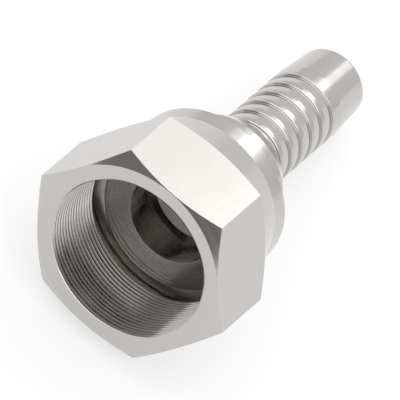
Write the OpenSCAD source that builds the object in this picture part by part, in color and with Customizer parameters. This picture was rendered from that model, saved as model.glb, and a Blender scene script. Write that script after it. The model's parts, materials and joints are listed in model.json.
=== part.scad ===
// Hose nipple with a swivel nut, turned in stainless steel.
// The nipple has a flat sealing face inside the nut and a barbed tail for the hose.
// The nut is a hexagon bar turned down to a tapered collar, and spins on the nipple's body.
// Both are drawn along their own axis, from the nut's front face at 0 towards the tail.
// The fitting then lies as it comes to rest, on one flat of the nut and the tip of the tail.

/* [Hexagon] */
// Width across the flats of the nut
across_flats = 41; // [39:0.5:46]
// Length of the flats, at the middle of one
hex_length = 18.6; // [16:0.1:21]
// Slope of the turned chamfers that trim the corners, from the end face
corner_chamfer = 30; // [20:1:35]
// Width of the turned rim left outside the front face
front_rim = 0.1; // [0.05:0.05:0.4]

/* [Nut collar] */
// Length of the whole nut
nut_length = 31.3; // [30:0.1:34]
// Diameter of the round collar at the rear
collar_d = 35.3; // [34.5:0.1:37]
// Length of the round collar
collar_length = 3.85; // [2:0.05:6]
// Half angle of the taper between hexagon and collar
collar_taper = 15; // [8:1:18]
// Chamfer on the collar's rear edge
collar_edge = 0.15; // [0.05:0.05:0.5]

/* [Thread bore] */
// Diameter over the crests of the female thread
thread_minor_d = 34.2; // [33.4:0.1:35]
// Depth of the threaded stretch
thread_length = 15.7; // [12:0.1:16.6]
// Chamfer at the mouth
mouth_chamfer = 0.2; // [0.1:0.05:0.8]
// Diameter of the thread relief behind the last turn
relief_d = 36.2; // [35.6:0.1:37]
// Length of the thread relief
relief_length = 5.2; // [2:0.1:5.6]

/* [Nipple head] */
// Depth of the flat sealing face below the nut's front face
face_depth = 17.4; // [16.8:0.1:18.4]
// Diameter of the head
head_d = 31.2; // [29:0.1:31.8]
// Length of the head's straight rim
head_rim = 5.1; // [4:0.1:6]
// Round on the outer edge of the sealing face
head_edge = 0.35; // [0.1:0.05:1]
// Slope of the shoulder that holds the nut, from the axis
shoulder_slope = 45; // [35:1:60]

/* [Swivel fit] */
// Radial running clearance between the body and the nut's rear hole
swivel_clearance = 0.08; // [0.03:0.01:0.1]
// Radial gap round the head
head_gap = 0.35; // [0.2:0.05:0.6]
// Gap along the axis between the head's shoulder and the nut's seat
seat_gap = 0.3; // [0.2:0.05:0.6]

/* [Nipple body] */
// Diameter of the plain body that the nut turns on
body_d = 26.4; // [24:0.1:27.5]
// Length of the plain body that stands out of the nut
body_reach = 6.7; // [3:0.1:12]
// Slope of the body's long rear chamfer, from the axis
body_chamfer = 30; // [20:1:45]
// Diameter of the shoulder that the hose butts against
hose_stop_d = 21.7; // [19:0.1:24]

/* [Hose tail] */
// Diameter over the barbs
barb_d = 16.5; // [15.5:0.1:18.5]
// Diameter at the foot of each barb
root_d = 15.6; // [14.2:0.1:16]
// Number of barbs
barb_count = 6; // [3:1:9]
// Distance from one barb to the next
barb_pitch = 4.09; // [3.4:0.01:6]
// Length of the flat crest on each barb
barb_crest = 1.35; // [0.8:0.05:2.4]
// Round on the sharp side of each crest
crest_round = 0.2; // [0.1:0.05:0.5]
// Round at the foot of each barb's face
foot_round = 0.15; // [0.05:0.05:0.35]
// Length of the plain neck before the first barb
neck_length = 3.9; // [2:0.1:8]
// Length of the crest on the last barb
last_crest = 3.35; // [1.5:0.05:8]
// Length of the tapered end behind the last crest
tip_length = 10.3; // [6:0.1:16]
// Half angle of the tapered end
tip_taper = 4; // [1:0.5:5]
// Round on the tip's outer edge
tip_round = 1; // [0.4:0.1:1.2]

/* [Passage] */
// Diameter of the counterbore behind the sealing face
counterbore_d = 19.2; // [14:0.1:21]
// Depth of the counterbore below the sealing face
counterbore_depth = 9.9; // [5:0.1:16]
// Diameter of the bore through the tail
bore_d = 12; // [8:0.1:12.6]
// Chamfer where the passage opens
passage_chamfer = 0.2; // [0.1:0.05:0.4]

/* [Hidden] */
$fn = 128;
// Overlap that lets a cut run clear of a face
clear = 1;

flat_r = across_flats / 2;
corner_r = flat_r / cos(30);
collar_r = collar_d / 2;
minor_r = thread_minor_d / 2;
relief_r = relief_d / 2;
head_r = head_d / 2;
body_r = body_d / 2;
barb_r = barb_d / 2;
root_r = root_d / 2;
counterbore_r = counterbore_d / 2;
bore_r = bore_d / 2;

// The nut's chamber and rear hole take their sizes from the head and body inside them
chamber_r = head_r + head_gap;
hole_r = body_r + swivel_clearance;

// Stations along the axis of the nut
chamfer_rise = tan(corner_chamfer);
taper_rise = tan(collar_taper);
collar_start = nut_length - collar_length;
relief_end = thread_length + relief_length;
// Where the rear chamfer of the hexagon runs into the collar's taper
taper_start = (flat_r - collar_r + hex_length / chamfer_rise - collar_start * taper_rise)
    / (1 / chamfer_rise - taper_rise);
taper_r = collar_r + (collar_start - taper_start) * taper_rise;

// Stations along the axis of the nipple
head_end = face_depth + head_rim;
body_start = head_end + (head_r - body_r) / tan(shoulder_slope);
body_end = nut_length + body_reach;
hose_stop = body_end + (body_r - hose_stop_d / 2) / tan(body_chamfer);
first_barb = hose_stop + neck_length;
last_barb = first_barb + (barb_count - 1) * barb_pitch;
tip_start = last_barb + last_crest;
tip_end = tip_start + tip_length;
counterbore_end = face_depth + counterbore_depth;

// The nut's seat lies behind the head's shoulder and slopes as it does
hole_start = body_start + seat_gap - swivel_clearance / tan(shoulder_slope);
chamber_end = hole_start - (chamber_r - hole_r) / tan(shoulder_slope);

// Centre of the round on the tip, which touches the tapered side and the end face
tip_centre = tip_end - tip_round;
tip_centre_r = barb_r - (tip_centre - tip_start) * tan(tip_taper) - tip_round / cos(tip_taper);

// At rest a flat's rear edge and the tip's round touch the same level surface
rest_run = tip_centre - hex_length;
rest_drop = flat_r - tip_centre_r;
rest_tilt = atan2(rest_drop, rest_run) - asin(tip_round / norm([rest_run, rest_drop]));
axis_height = hex_length * sin(rest_tilt) + flat_r * cos(rest_tilt);
// The origin lies under the middle of the fitting as it rests
rest_front = -(flat_r - front_rim) * sin(rest_tilt);
rest_back = tip_centre * cos(rest_tilt) + tip_centre_r * sin(rest_tilt) + tip_round;
middle = (rest_front + rest_back) / 2;

// Lays what is drawn upright from its front face down on its side, with the tail to +X
module lie_at_rest() {
    translate([-middle, 0, axis_height])
        rotate([0, 90 + rest_tilt, 0])
            children();
}

// Turned outline of the nut: chamfered hexagon, tapered neck and round collar
module nut_outline() {
    polygon([
        [0, 0],
        [flat_r - front_rim, 0],
        [corner_r, (corner_r - flat_r + front_rim) * chamfer_rise],
        [corner_r, hex_length - (corner_r - flat_r) * chamfer_rise],
        [taper_r, taper_start],
        [collar_r, collar_start],
        [collar_r, nut_length - collar_edge],
        [collar_r - collar_edge, nut_length],
        [0, nut_length],
    ]);
}

// Inside of the nut: threaded mouth, relief, chamber for the head, sloping seat and rear hole
module nut_passage() {
    polygon([
        [0, -clear],
        [minor_r + mouth_chamfer + clear, -clear],
        [minor_r, mouth_chamfer],
        [minor_r, thread_length],
        [relief_r, thread_length + (relief_r - minor_r) * chamfer_rise],
        [relief_r, relief_end],
        [chamber_r, relief_end],
        [chamber_r, chamber_end],
        [hole_r, hole_start],
        [hole_r, nut_length + clear],
        [0, nut_length + clear],
    ]);
}

module swivel_nut() {
    color("silver")
        lie_at_rest()
            difference() {
                intersection() {
                    linear_extrude(height = nut_length)
                        rotate(30)
                            circle(r = corner_r, $fn = 6);
                    rotate_extrude()
                        nut_outline();
                }
                rotate_extrude()
                    nut_passage();
            }
}

// Head, shoulder, body and hose stop of the nipple, up to the foot of the first barb
module head_and_body() {
    polygon([
        [0, face_depth],
        [head_r - head_edge, face_depth],
        [head_r - head_edge, face_depth + head_edge],
        [head_r, face_depth + head_edge],
        [head_r, head_end],
        [body_r, body_start],
        [body_r, body_end],
        [hose_stop_d / 2, hose_stop],
        [root_r, hose_stop],
        [root_r, first_barb],
        [0, first_barb],
    ]);
    translate([head_r - head_edge, face_depth + head_edge])
        circle(r = head_edge);
}

// One barb: a square face towards the nut, a flat crest and a ramp towards the tip
module barb(start, crest, finish) {
    polygon([
        [0, start],
        [barb_r - crest_round, start],
        [barb_r - crest_round, start + crest_round],
        [barb_r, start + crest_round],
        [barb_r, start + crest],
        [root_r, finish],
        [0, finish],
    ]);
    translate([barb_r - crest_round, start + crest_round])
        circle(r = crest_round);
    foot(start);
}

// Fillet at the foot of a barb's face
module foot(start) {
    difference() {
        translate([root_r - foot_round, start - foot_round])
            square([2 * foot_round, foot_round + crest_round]);
        translate([root_r + foot_round, start - foot_round])
            circle(r = foot_round);
        translate([root_r, start - foot_round - clear])
            square([2 * foot_round, clear]);
    }
}

// Last barb with its longer crest, and the tapered end with a rounded tip
module tail_end() {
    polygon([
        [0, last_barb],
        [barb_r - crest_round, last_barb],
        [barb_r - crest_round, last_barb + crest_round],
        [barb_r, last_barb + crest_round],
        [barb_r, tip_start],
        [tip_centre_r + tip_round * cos(tip_taper), tip_centre + tip_round * sin(tip_taper)],
        [tip_centre_r, tip_centre],
        [tip_centre_r, tip_end],
        [0, tip_end],
    ]);
    translate([barb_r - crest_round, last_barb + crest_round])
        circle(r = crest_round);
    translate([tip_centre_r, tip_centre])
        circle(r = tip_round);
    foot(last_barb);
}

// Way through the nipple: counterbore with a flat floor, then the bore of the tail
module nipple_passage() {
    polygon([
        [0, face_depth - clear],
        [counterbore_r + passage_chamfer + clear, face_depth - clear],
        [counterbore_r, face_depth + passage_chamfer],
        [counterbore_r, counterbore_end],
        [bore_r, counterbore_end],
        [bore_r, tip_end - passage_chamfer],
        [bore_r + passage_chamfer + clear, tip_end + clear],
        [0, tip_end + clear],
    ]);
}

module hose_nipple() {
    color("gainsboro")
        lie_at_rest()
            rotate_extrude()
                difference() {
                    union() {
                        head_and_body();
                        for (i = [0 : barb_count - 2]) {
                            start = first_barb + i * barb_pitch;
                            barb(start, barb_crest, start + barb_pitch);
                        }
                        tail_end();
                    }
                    nipple_passage();
                }
}

swivel_nut();
hose_nipple();
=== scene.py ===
import json
from math import pi, radians, tan

import bmesh
import bpy
from mathutils import Matrix, Quaternion, Vector


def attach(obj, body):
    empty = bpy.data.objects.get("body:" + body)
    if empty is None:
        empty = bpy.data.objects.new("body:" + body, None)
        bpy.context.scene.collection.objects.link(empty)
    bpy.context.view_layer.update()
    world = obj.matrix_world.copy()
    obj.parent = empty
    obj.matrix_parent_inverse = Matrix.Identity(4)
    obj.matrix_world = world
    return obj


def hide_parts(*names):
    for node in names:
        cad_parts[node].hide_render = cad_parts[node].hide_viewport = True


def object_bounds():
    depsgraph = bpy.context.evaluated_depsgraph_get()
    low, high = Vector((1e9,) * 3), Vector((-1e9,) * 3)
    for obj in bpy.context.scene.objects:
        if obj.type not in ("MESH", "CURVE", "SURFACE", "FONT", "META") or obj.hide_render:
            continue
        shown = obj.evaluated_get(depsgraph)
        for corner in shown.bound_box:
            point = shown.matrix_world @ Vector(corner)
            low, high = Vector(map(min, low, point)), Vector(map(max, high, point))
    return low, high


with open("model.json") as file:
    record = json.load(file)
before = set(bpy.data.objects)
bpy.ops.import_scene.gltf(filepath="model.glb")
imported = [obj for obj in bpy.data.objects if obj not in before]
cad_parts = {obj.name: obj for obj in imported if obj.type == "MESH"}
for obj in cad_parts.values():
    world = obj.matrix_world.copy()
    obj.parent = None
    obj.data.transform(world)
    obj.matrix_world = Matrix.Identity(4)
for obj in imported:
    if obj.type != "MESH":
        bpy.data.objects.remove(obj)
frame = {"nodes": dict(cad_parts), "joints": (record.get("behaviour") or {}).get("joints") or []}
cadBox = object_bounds()
mm = 0.001
print("frame loaded")


# Where the fitting lies: its axis comes from the joint, its mouth from the nut's solid
swivel = frame["joints"][0]
tailDir = Vector(swivel["axis"]).normalized()  # along the fitting, from the mouth to the tail
nutNode = frame["nodes"]["swivel_nut"]
swivelPoint = Vector(swivel["pos_m"])
mouthDepth = min((v.co - swivelPoint).dot(tailDir) for v in nutNode.data.vertices)
mouthCentre = swivelPoint + tailDir * mouthDepth
sideDir = Vector((0, 1, 0))
downDir = sideDir.cross(tailDir)  # square to the axis, towards the flat that the nut lies on
lie = Matrix((downDir, sideDir, tailDir)).transposed().to_4x4()
lie.translation = mouthCentre  # from upright, mouth at 0 and tail up, to the place at rest


def hexColour(text):
    values = [int(text[i:i + 2], 16) / 255 for i in (1, 3, 5)]
    linear = [v / 12.92 if v <= 0.04045 else ((v + 0.055) / 1.055) ** 2.4 for v in values]
    return (*linear, 1)


def addNode(tree, kind, settings=None, inputs=None, links=None):
    node = tree.nodes.new(kind)
    for name, value in (settings or {}).items():
        setattr(node, name, value)
    for name, value in (inputs or {}).items():
        node.inputs[name].default_value = value
    for name, source in (links or {}).items():
        tree.links.new(source, node.inputs[name])
    return node


def newMaterial(name):
    material = bpy.data.materials.new(name)
    material.use_nodes = True
    material.node_tree.nodes.clear()
    return material, material.node_tree


def newObject(name, bm):
    mesh = bpy.data.meshes.new(name)
    bm.to_mesh(mesh)
    bm.free()
    piece = bpy.data.objects.new(name, mesh)
    bpy.context.scene.collection.objects.link(piece)
    return piece


def openEdges(bm):
    return sum(not edge.is_manifold for edge in bm.edges)


# Stainless steel
steel = {
    "colour": "#C1BEBB",       # slightly warm
    "roughness": 0.17,         # fine turned, then tumbled
    "roughnessSwing": 0.03,
    "noiseLow": 0.3, "noiseHigh": 0.7,  # nearly all of the noise lies between these
    "markSpacing": 1.2 * mm,   # real feed marks are 0.1 mm apart: drawn coarser, so that they show
    "markHeight": 0.0002 * mm,
    "grainLength": 9 * mm,     # drawn lines along the bar's flats, also coarser than real ones
    "grainWidth": 0.5 * mm,
}


def partCoordinates(tree):
    # Object coordinates turned upright, in metres: Z is the depth behind the mouth
    toPart = lie.inverted()
    place = addNode(tree, "ShaderNodeTexCoord").outputs["Object"]
    mapped = addNode(tree, "ShaderNodeMapping", {"vector_type": "POINT"},
                     {"Location": toPart.translation, "Rotation": toPart.to_euler("XYZ")},
                     {"Vector": place})
    return mapped.outputs["Vector"]


def steelSurface(tree, pattern):
    # the pattern moves both the gloss and, very slightly, the height
    gloss = addNode(tree, "ShaderNodeMapRange", None,
                    {"From Min": steel["noiseLow"], "From Max": steel["noiseHigh"],
                     "To Min": steel["roughness"] - steel["roughnessSwing"],
                     "To Max": steel["roughness"] + steel["roughnessSwing"]},
                    {"Value": pattern})
    bump = addNode(tree, "ShaderNodeBump", None, {"Strength": 1.0, "Distance": steel["markHeight"]},
                   {"Height": pattern})
    surface = addNode(tree, "ShaderNodeBsdfPrincipled", None,
                      {"Base Color": hexColour(steel["colour"]), "Metallic": 1.0},
                      {"Roughness": gloss.outputs["Result"], "Normal": bump.outputs["Normal"]})
    addNode(tree, "ShaderNodeOutputMaterial", None, None, {"Surface": surface.outputs["BSDF"]})


def turnedStainless(name):
    # Stainless steel turned on a lathe: very fine rings about the axis break the gloss slightly
    material, tree = newMaterial(name)
    part = partCoordinates(tree)
    flat = addNode(tree, "ShaderNodeVectorMath", {"operation": "MULTIPLY"}, {1: (1, 1, 0)}, {0: part})
    radius = addNode(tree, "ShaderNodeVectorMath", {"operation": "LENGTH"}, None,
                     {0: flat.outputs["Vector"]})
    depth = addNode(tree, "ShaderNodeSeparateXYZ", None, None, {0: part})
    profile = addNode(tree, "ShaderNodeCombineXYZ", None, None,
                      {"X": radius.outputs["Value"], "Y": depth.outputs["Z"]})
    rings = addNode(tree, "ShaderNodeTexNoise", {"noise_dimensions": "2D"},
                    {"Scale": 1 / steel["markSpacing"], "Detail": 0.0},
                    {"Vector": profile.outputs["Vector"]})
    steelSurface(tree, rings.outputs["Fac"])
    return material


def drawnStainless(name):
    # The hexagon bar's own flats, cold drawn: smooth, with faint lines along the bar
    material, tree = newMaterial(name)
    part = partCoordinates(tree)
    stretched = addNode(tree, "ShaderNodeVectorMath", {"operation": "MULTIPLY"},
                        {1: (1, 1, steel["grainWidth"] / steel["grainLength"])}, {0: part})
    lines = addNode(tree, "ShaderNodeTexNoise", {"noise_dimensions": "3D"},
                    {"Scale": 1 / steel["grainWidth"], "Detail": 0.0},
                    {"Vector": stretched.outputs["Vector"]})
    steelSurface(tree, lines.outputs["Fac"])
    return material


turnedNut = turnedStainless("turnedStainlessNut")
drawnNut = drawnStainless("drawnStainlessFlats")
turnedNipple = turnedStainless("turnedStainlessNipple")
print("materials made")


# The swivel nut: the CAD solid with its thread cut in
nut = {
    "threadCrest": 17.1 * mm,    # radius over the crests, the CAD bore
    "threadPitch": 1.02 * mm,
    "threadDepth": 0.58 * mm,
    "crestFlat": 0.22 * mm,
    "rootFlat": 0.10 * mm,
    "toolOverlap": 0.25 * mm,    # how far the cutting tool reaches inside the crests
    "threadStart": -0.60 * mm,   # the tool enters in front of the mouth
    "threadEnd": 17.0 * mm,      # the last turn runs out in the relief groove
    "turnSteps": 144,
    "flatRadius": 20.5 * mm,     # from the axis to the hexagon's flats
    "flatTolerance": 0.01 * mm,
    "squareness": 0.999,         # a flat's normal is square to the axis: this much of it or more
    "mergeDistance": 0.0001 * mm,
    "levelAngle": 0.05,          # triangles within this many degrees are joined to one face
    "sharpAngle": 10,            # edges over this stay crisp, steps of the turned rounds don't
}


def threadCutter():
    # a V section swept along the thread's helix, upright with the mouth at 0
    bm = bmesh.new()
    half = (nut["threadPitch"] - nut["crestFlat"]) / 2
    inner = nut["threadCrest"] - nut["toolOverlap"]
    outer = nut["threadCrest"] + nut["threadDepth"]
    outline = [(inner, -half), (nut["threadCrest"], -half), (outer, -nut["rootFlat"] / 2),
               (outer, nut["rootFlat"] / 2), (nut["threadCrest"], half), (inner, half)]
    turns = (nut["threadEnd"] - nut["threadStart"]) / nut["threadPitch"]
    steps = round(turns * nut["turnSteps"])
    face = bm.faces.new([bm.verts.new((r, 0, nut["threadStart"] + z)) for r, z in outline])
    bmesh.ops.spin(bm, geom=[face, *face.edges, *face.verts], cent=(0, 0, 0), axis=(0, 0, 1),
                   dvec=(0, 0, nut["threadPitch"] / nut["turnSteps"]),
                   angle=2 * pi * steps / nut["turnSteps"], steps=steps, use_merge=False)
    bmesh.ops.recalc_face_normals(bm, faces=bm.faces)
    return newObject("threadCutter", bm)


def uprightNut():
    # the CAD solid, merged and stood upright, so that the helix can be cut about Z
    bm = bmesh.new()
    bm.from_mesh(nutNode.data)
    bmesh.ops.remove_doubles(bm, verts=bm.verts, dist=nut["mergeDistance"])
    bmesh.ops.dissolve_limit(bm, angle_limit=radians(nut["levelAngle"]), verts=bm.verts,
                             edges=bm.edges, use_dissolve_boundaries=False)
    bmesh.ops.transform(bm, matrix=lie.inverted(), verts=bm.verts)
    for layer in list(bm.loops.layers.float_vector):
        bm.loops.layers.float_vector.remove(layer)
    blank = newObject("nutBlank", bm)
    shading = ("custom_normal", "sharp_face", "sharp_edge")  # the CAD mesh's own, set again later
    for name in [a.name for a in blank.data.attributes if a.name in shading]:
        blank.data.attributes.remove(blank.data.attributes[name])
    return blank


def threadedNut():
    blank, cutter = uprightNut(), threadCutter()
    cut = blank.modifiers.new("thread", "BOOLEAN")
    cut.operation, cut.solver, cut.object = "DIFFERENCE", "EXACT", cutter
    bpy.context.view_layer.update()
    ready = blank.evaluated_get(bpy.context.evaluated_depsgraph_get())
    cutMesh = bpy.data.meshes.new_from_object(ready)
    bpy.data.objects.remove(blank)
    bpy.data.objects.remove(cutter)
    bm = bmesh.new()
    bm.from_mesh(cutMesh)
    bmesh.ops.remove_doubles(bm, verts=bm.verts, dist=nut["mergeDistance"])
    print("nut threaded,", len(bm.faces), "faces,", openEdges(bm), "open edges")
    for face in bm.faces:
        face.smooth = True
        alongAxis = face.normal.xy.length > nut["squareness"]
        reach = face.calc_center_median().xy.dot(face.normal.xy)  # from the axis to the face
        onFlat = alongAxis and abs(reach - nut["flatRadius"]) < nut["flatTolerance"]
        face.material_index = 1 if onFlat else 0
    bmesh.ops.transform(bm, matrix=lie, verts=bm.verts)
    piece = newObject("threadedNut", bm)
    piece.data.materials.append(turnedNut)
    piece.data.materials.append(drawnNut)
    piece.data.set_sharp_from_angle(angle=radians(nut["sharpAngle"]))
    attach(piece, "nut")
    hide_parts("swivel_nut")


threadedNut()
print("nut made")


# The nipple: one outline spun about the axis, with the small rounds that turning leaves
nipple = {
    "face": 17.4 * mm, "headRadius": 15.6 * mm, "headEnd": 22.5 * mm,
    "bodyRadius": 13.2 * mm, "bodyStart": 24.9 * mm, "bodyEnd": 38.0 * mm,
    "stopRadius": 10.85 * mm, "hoseStop": 42.07 * mm,
    "barbRadius": 8.25 * mm, "rootRadius": 7.8 * mm, "firstBarb": 45.97 * mm,
    "barbs": 6, "barbPitch": 4.09 * mm, "barbCrest": 1.35 * mm,
    "tipStart": 69.77 * mm, "tipEnd": 80.07 * mm, "tipTaper": 4,
    "counterboreRadius": 9.6 * mm, "counterboreEnd": 27.3 * mm, "boreRadius": 6.0 * mm,
    "drillPoint": 118,          # full angle of the cone that the drill leaves at the counterbore's end
    "passageRound": 0.05 * mm, "headRound": 0.35 * mm, "crestRound": 0.20 * mm,
    "footRound": 0.15 * mm, "tipRound": 0.95 * mm, "edgeRound": 0.12 * mm,
    "roundSegments": 5, "spinSteps": 160,
    "sharpAngle": 30,
}


def nippleOutline():
    # radius, depth and rounding of each corner, from the sealing face round to the bore
    n = nipple
    edge = n["edgeRound"]
    corners = [
        (n["counterboreRadius"], n["face"], n["passageRound"]),
        (n["headRadius"], n["face"], n["headRound"]),
        (n["headRadius"], n["headEnd"], edge), (n["bodyRadius"], n["bodyStart"], 0),
        (n["bodyRadius"], n["bodyEnd"], edge), (n["stopRadius"], n["hoseStop"], edge),
        (n["rootRadius"], n["hoseStop"], 0),
    ]
    for i in range(n["barbs"]):
        start = n["firstBarb"] + i * n["barbPitch"]
        corners += [(n["rootRadius"], start, n["footRound"]), (n["barbRadius"], start, n["crestRound"])]
        if i < n["barbs"] - 1:
            corners.append((n["barbRadius"], start + n["barbCrest"], edge))
    tipRadius = n["barbRadius"] - (n["tipEnd"] - n["tipStart"]) * tan(radians(n["tipTaper"]))
    coneDepth = (n["counterboreRadius"] - n["boreRadius"]) / tan(radians(n["drillPoint"] / 2))
    corners += [
        (n["barbRadius"], n["tipStart"], edge), (tipRadius, n["tipEnd"], n["tipRound"]),
        (n["boreRadius"], n["tipEnd"], edge),
        (n["boreRadius"], n["counterboreEnd"] + coneDepth, n["passageRound"]),
        (n["counterboreRadius"], n["counterboreEnd"], 0),
    ]
    return corners


def turnedNipplePiece():
    bm = bmesh.new()
    corners = [(bm.verts.new((r, 0, z)), rounding) for r, z, rounding in nippleOutline()]
    bm.faces.new([v for v, rounding in corners])
    for size in sorted({rounding for v, rounding in corners if rounding}):
        bmesh.ops.bevel(bm, geom=[v for v, rounding in corners if rounding == size], offset=size,
                        offset_type="OFFSET", affect="VERTICES", segments=nipple["roundSegments"],
                        profile=0.5, material=-1)
    bmesh.ops.delete(bm, geom=list(bm.faces), context="FACES_ONLY")
    bmesh.ops.spin(bm, geom=[*bm.verts, *bm.edges], cent=(0, 0, 0), axis=(0, 0, 1), dvec=(0, 0, 0),
                   angle=2 * pi, steps=nipple["spinSteps"], use_merge=True)
    bmesh.ops.recalc_face_normals(bm, faces=bm.faces)
    print("nipple spun,", len(bm.faces), "faces,", openEdges(bm), "open edges")
    for face in bm.faces:
        face.smooth = True
    bmesh.ops.transform(bm, matrix=lie, verts=bm.verts)
    piece = newObject("turnedNipple", bm)
    piece.data.materials.append(turnedNipple)
    piece.data.set_sharp_from_angle(angle=radians(nipple["sharpAngle"]))
    # lands stay flat to the eye beside their small rounds
    evenNormals = piece.modifiers.new("evenNormals", "WEIGHTED_NORMAL")
    evenNormals.keep_sharp = True
    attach(piece, "nipple")
    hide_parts("hose_nipple")


turnedNipplePiece()
print("nipple made")


# Floor, light and camera
studio = {
    "brightLevel": 0.9,          # the room beyond the tail
    "dimLevel": 0.11,            # the room before the mouth
    "brightSide": (0.955, 0, 0.297),
    "boxDistance": 0.8,          # metres
    # azimuth, height, half width and half height in degrees, as the fitting sees it, then radiance
    "boxes": {
        "keyBox": (87, 28, 8, 11, 0.85),
        "keyCore": (87, 32, 7, 6, 1.5),
        "keySpread": (89, 33, 17, 5, 0.7),
        "ceilingBox": (0, 90, 49, 49, 1.45),
        "lowFrontBox": (-30, 18, 27, 18, 0.8),
        "lowBackBox": (-176, 28, 18, 14, 0.85),
    },
    "floorHalf": 2.5,            # metres
    "floorColour": 0.25,
    "floorGlow": 0.66,           # added where the camera, metal or glass sees the floor, up to white
    "glossyBounces": 12,         # light passes many times between the walls of the mouth and the bore
    "viewDistance": 3.45,        # far off, as the picture has almost no perspective
    "clipNear": 0.1, "clipFar": 20,
    "pixelsPerMetre": 5106,      # scale of the picture at the nut's mouth
    "mouthPixel": (127.0, 258.4),
    "viewAzimuth": -77.88, "viewHeight": 52.91, "viewRoll": 31.28,
    "pictureWidth": 400,
    "sensor": 36,                # millimetres
}
middle = (cadBox[0] + cadBox[1]) / 2


def direction(azimuth, height):
    # towards a point that far round from -Y and that high above the horizon, in degrees
    turn = Quaternion((0, 0, 1), radians(azimuth)) @ Quaternion((1, 0, 0), radians(-height))
    return turn @ Vector((0, -1, 0))


def softBox(name, azimuth, height, halfWidth, halfTall, radiance):
    light = bpy.data.lights.new(name, "AREA")
    light.shape = "RECTANGLE"
    light.size = 2 * studio["boxDistance"] * tan(radians(halfWidth))
    light.size_y = 2 * studio["boxDistance"] * tan(radians(halfTall))
    light.energy = radiance * pi * light.size * light.size_y
    box = bpy.data.objects.new(name, light)
    box.location = middle + direction(azimuth, height) * studio["boxDistance"]
    box.rotation_mode = "QUATERNION"
    box.rotation_quaternion = (middle - box.location).to_track_quat("-Z", "Y")
    bpy.context.scene.collection.objects.link(box)


def plainRoom():
    world = bpy.data.worlds.new("studioWorld")
    bpy.context.scene.world = world
    world.use_nodes = True
    tree = world.node_tree
    tree.nodes.clear()
    aimed = addNode(tree, "ShaderNodeTexCoord").outputs["Generated"]
    brightSide = addNode(tree, "ShaderNodeVectorMath", {"operation": "DOT_PRODUCT"},
                         {1: studio["brightSide"]}, {0: aimed})
    wallLevel = addNode(tree, "ShaderNodeMapRange", None,
                        {"From Min": -1, "From Max": 1,
                         "To Min": studio["dimLevel"], "To Max": studio["brightLevel"]},
                        {"Value": brightSide.outputs["Value"]})
    walls = addNode(tree, "ShaderNodeBackground", None, {"Color": (1, 1, 1, 1)},
                    {"Strength": wallLevel.outputs["Result"]})
    addNode(tree, "ShaderNodeOutputWorld", None, None, {"Surface": walls.outputs["Background"]})


def paleFloor():
    # a matt pale card that looks white from the camera and in the steel, and keeps the shadow
    bm = bmesh.new()
    bmesh.ops.create_grid(bm, x_segments=1, y_segments=1, size=studio["floorHalf"])
    floor = newObject("floor", bm)
    material, tree = newMaterial("paleFloor")
    card = addNode(tree, "ShaderNodeBsdfDiffuse", None, {"Color": (*[studio["floorColour"]] * 3, 1)})
    rays = addNode(tree, "ShaderNodeLightPath")
    seen = addNode(tree, "ShaderNodeMath", {"operation": "ADD"}, None,
                   {0: rays.outputs["Is Camera Ray"], 1: rays.outputs["Is Glossy Ray"]})
    seenAll = addNode(tree, "ShaderNodeMath", {"operation": "ADD", "use_clamp": True}, None,
                      {0: seen.outputs[0], 1: rays.outputs["Is Transmission Ray"]})
    share = addNode(tree, "ShaderNodeMath", {"operation": "MULTIPLY"}, {1: studio["floorGlow"]},
                    {0: seenAll.outputs[0]})
    added = addNode(tree, "ShaderNodeEmission", None, {"Color": (1, 1, 1, 1)},
                    {"Strength": share.outputs[0]})
    both = addNode(tree, "ShaderNodeAddShader", None, None, {0: card.outputs["BSDF"], 1: added.outputs[0]})
    addNode(tree, "ShaderNodeOutputMaterial", None, None, {"Surface": both.outputs[0]})
    floor.data.materials.append(material)


def placeCamera():
    lens = bpy.data.cameras.new("camera")
    lens.sensor_width = studio["sensor"]
    pixelsPerSensorMm = studio["pictureWidth"] / studio["sensor"]
    lens.lens = studio["pixelsPerMetre"] * studio["viewDistance"] / pixelsPerSensorMm
    lens.clip_start, lens.clip_end = studio["clipNear"], studio["clipFar"]
    camera = bpy.data.objects.new("camera", lens)
    bpy.context.scene.collection.objects.link(camera)
    back = direction(studio["viewAzimuth"], studio["viewHeight"])
    camera.rotation_mode = "QUATERNION"
    roll = Quaternion((0, 0, 1), radians(studio["viewRoll"]))
    camera.rotation_quaternion = (-back).to_track_quat("-Z", "Y") @ roll
    right = camera.rotation_quaternion @ Vector((1, 0, 0))
    up = camera.rotation_quaternion @ Vector((0, 1, 0))
    mouthX, mouthY = studio["mouthPixel"]
    shiftRight = (studio["pictureWidth"] / 2 - mouthX) / studio["pixelsPerMetre"]
    shiftUp = (mouthY - studio["pictureWidth"] / 2) / studio["pixelsPerMetre"]
    camera.location = mouthCentre + right * shiftRight + up * shiftUp + back * studio["viewDistance"]
    bpy.context.scene.camera = camera


plainRoom()
for name, numbers in studio["boxes"].items():
    softBox(name, *numbers)
paleFloor()
bpy.context.scene.view_settings.view_transform = "Standard"
bpy.context.scene.cycles.glossy_bounces = studio["glossyBounces"]
print("light and floor made")
placeCamera()
print("camera placed")
